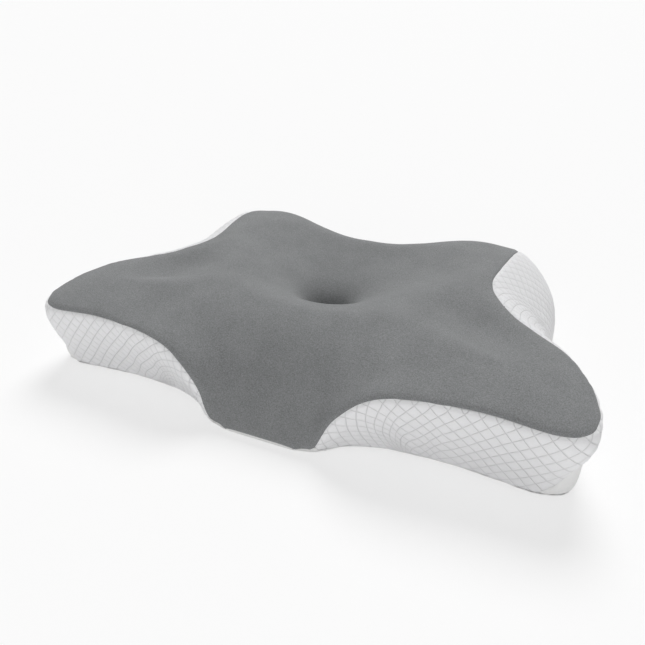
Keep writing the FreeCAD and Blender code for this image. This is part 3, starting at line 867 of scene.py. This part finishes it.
# --- studio ---------------------------------------------------------------------------------------
KEY_LAMP = ((-0.12, 0.63, 0.77), 0.78, 30.0)    # towards the lamp, strength, spread in degrees
FILL_LAMP = ((0.25, -0.95, 0.17), 0.50, 60.0)
AMBIENT = 0.24
PAPER = 0.93
PAPER_GLOW = 0.65
FLOOR_HALF = 20.0
FLOOR_DROP = 0.0002      # keeps the floor clear of the underside
CAMERA_PLACE = (0.24298, -0.57783, 0.40223)
CAMERA_TURN = 23.70      # degrees round from the front
CAMERA_TILT = 29.95      # degrees down
CAMERA_LENS = 33.43      # mm
CAMERA_SENSOR = 36.0     # mm


def aimed(piece, direction):
    piece.rotation_mode = "QUATERNION"
    piece.rotation_quaternion = Vector(direction).to_track_quat("-Z", "Y")


def distant_light(name, towards, strength, spread):
    """A large, far lamp: a surface square to it is lit at the given strength."""
    lamp = bpy.data.lights.new(name, "SUN")
    lamp.energy = math.pi * strength
    lamp.angle = math.radians(spread)
    piece = object_of(name, lamp)
    aimed(piece, -Vector(towards))
    return piece


def paper_material(name, colour, glow):
    """Pale paper. The camera sees some of it as plain white, which lightens the shadow on it."""
    material = bpy.data.materials.new(name)
    material.use_nodes = True
    tree = material.node_tree
    shader = tree.nodes["Principled BSDF"]
    shader.inputs["Base Color"].default_value = (colour, colour, colour, 1.0)
    shader.inputs["Roughness"].default_value = 0.9
    shader.inputs["Specular IOR Level"].default_value = 0.1
    white = tree.nodes.new("ShaderNodeEmission")
    white.inputs["Color"].default_value = (1.0, 1.0, 1.0, 1.0)
    mix = tree.nodes.new("ShaderNodeMixShader")
    rays = tree.nodes.new("ShaderNodeLightPath")
    tree.links.new(maths(tree, "MULTIPLY", rays.outputs["Is Camera Ray"], glow), mix.inputs[0])
    tree.links.new(shader.outputs[0], mix.inputs[1])
    tree.links.new(white.outputs[0], mix.inputs[2])
    tree.links.new(mix.outputs[0], tree.nodes["Material Output"].inputs["Surface"])
    return material


def studio_world(ambient):
    """Even soft light at the given strength, and a white backdrop where the camera, a gloss or
    a clear piece looks past the floor."""
    world = bpy.data.worlds.new("studio")
    world.use_nodes = True
    tree = world.node_tree
    background = tree.nodes["Background"]
    background.inputs["Color"].default_value = (1.0, 1.0, 1.0, 1.0)
    rays = tree.nodes.new("ShaderNodeLightPath")
    seen = maths(tree, "MAXIMUM", rays.outputs["Is Camera Ray"], rays.outputs["Is Glossy Ray"])
    seen = maths(tree, "MAXIMUM", seen, rays.outputs["Is Transmission Ray"])
    strength = maths(tree, "MAXIMUM", seen, ambient)
    tree.links.new(strength, background.inputs["Strength"])
    return world


class PILLOW_OT_stage(bpy.types.Operator):
    """Set up the floor, the lights and the camera"""
    bl_idname = "pillow.stage"
    bl_label = "Set up the studio"

    def execute(self, context):
        scene = context.scene
        sheet = bmesh.new()
        bmesh.ops.create_grid(sheet, x_segments=2, y_segments=2, size=FLOOR_HALF)
        mesh = bpy.data.meshes.new("floor")
        sheet.to_mesh(mesh)
        sheet.free()
        floor = object_of("floor", mesh)
        floor.location.z = -FLOOR_DROP
        floor.data.materials.append(paper_material("white paper", PAPER, PAPER_GLOW))
        scene.world = studio_world(AMBIENT)
        distant_light("key", *KEY_LAMP)
        distant_light("fill", *FILL_LAMP)
        scene.view_settings.view_transform = "Standard"
        lens = bpy.data.cameras.new("camera")
        lens.sensor_width = CAMERA_SENSOR
        lens.lens = CAMERA_LENS
        camera = object_of("camera", lens)
        camera.location = CAMERA_PLACE
        azimuth, elevation = math.radians(CAMERA_TURN), math.radians(CAMERA_TILT)
        aimed(camera, (-math.sin(azimuth) * math.cos(elevation),
                       math.cos(azimuth) * math.cos(elevation), -math.sin(elevation)))
        scene.camera = camera
        return {"FINISHED"}


class PILLOW_PT_panel(bpy.types.Panel):
    """Lists the steps that make the pillow"""
    bl_label = "Neck Pillow"
    bl_space_type = "VIEW_3D"
    bl_region_type = "UI"
    bl_category = "Neck Pillow"

    def draw(self, context):
        for step in STEPS:
            self.layout.operator(step.bl_idname)
        for settings in (form(), colours()):
            for name in type(settings).__annotations__:
                self.layout.prop(settings, name)


STEPS = (PILLOW_OT_fabrics, PILLOW_OT_stage, PILLOW_OT_foam, PILLOW_OT_cover, PILLOW_OT_fittings)
CLASSES = (PillowForm, PillowColours) + STEPS + (PILLOW_PT_panel,)


def register():
    for item in CLASSES:
        bpy.utils.register_class(item)
    bpy.types.Scene.pillow_form = bpy.props.PointerProperty(type=PillowForm)
    bpy.types.Scene.pillow_colours = bpy.props.PointerProperty(type=PillowColours)


def unregister():
    del bpy.types.Scene.pillow_colours
    del bpy.types.Scene.pillow_form
    for item in reversed(CLASSES):
        bpy.utils.unregister_class(item)


def main():
    register()
    for step in STEPS:
        group, name = step.bl_idname.split(".")
        getattr(getattr(bpy.ops, group), name)()


if __name__ == "__main__":
    main()
